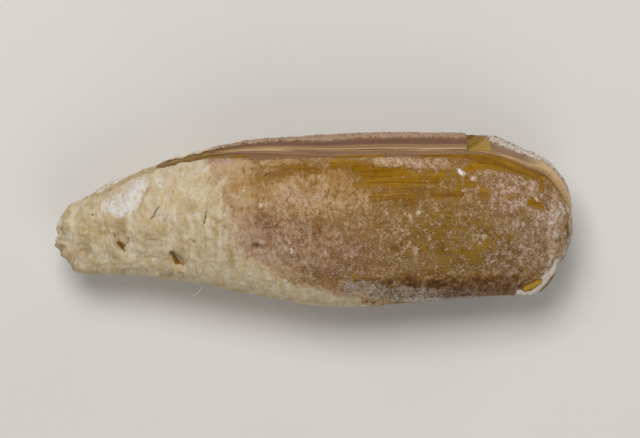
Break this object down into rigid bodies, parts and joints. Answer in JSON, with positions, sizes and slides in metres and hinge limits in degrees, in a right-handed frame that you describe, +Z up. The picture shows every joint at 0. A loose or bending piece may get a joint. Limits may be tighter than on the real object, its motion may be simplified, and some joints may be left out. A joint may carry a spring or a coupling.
{
  "type": "date mussel shell",
  "caption": "Closed date mussel shell, long and almost cylindrical, with a chalky crust that thickens to a ragged rear end and a chip in one belly margin.",
  "frame": {"origin": "on the ground under the middle of the shell, as it lies on its right valve", "axes": "+X along the shell towards its blunt front end, +Y towards the belly margin, +Z up"},
  "size_m": [0.0451, 0.0153, 0.014],
  "materials": {
    "left_valve": "matte",
    "right_valve": "matte",
    "ligament": "satin"
  },
  "bodies": {
    "root": {"left_valve": "left_valve", "right_valve": "right_valve", "ligament": "ligament"}
  },
  "joints": []
}
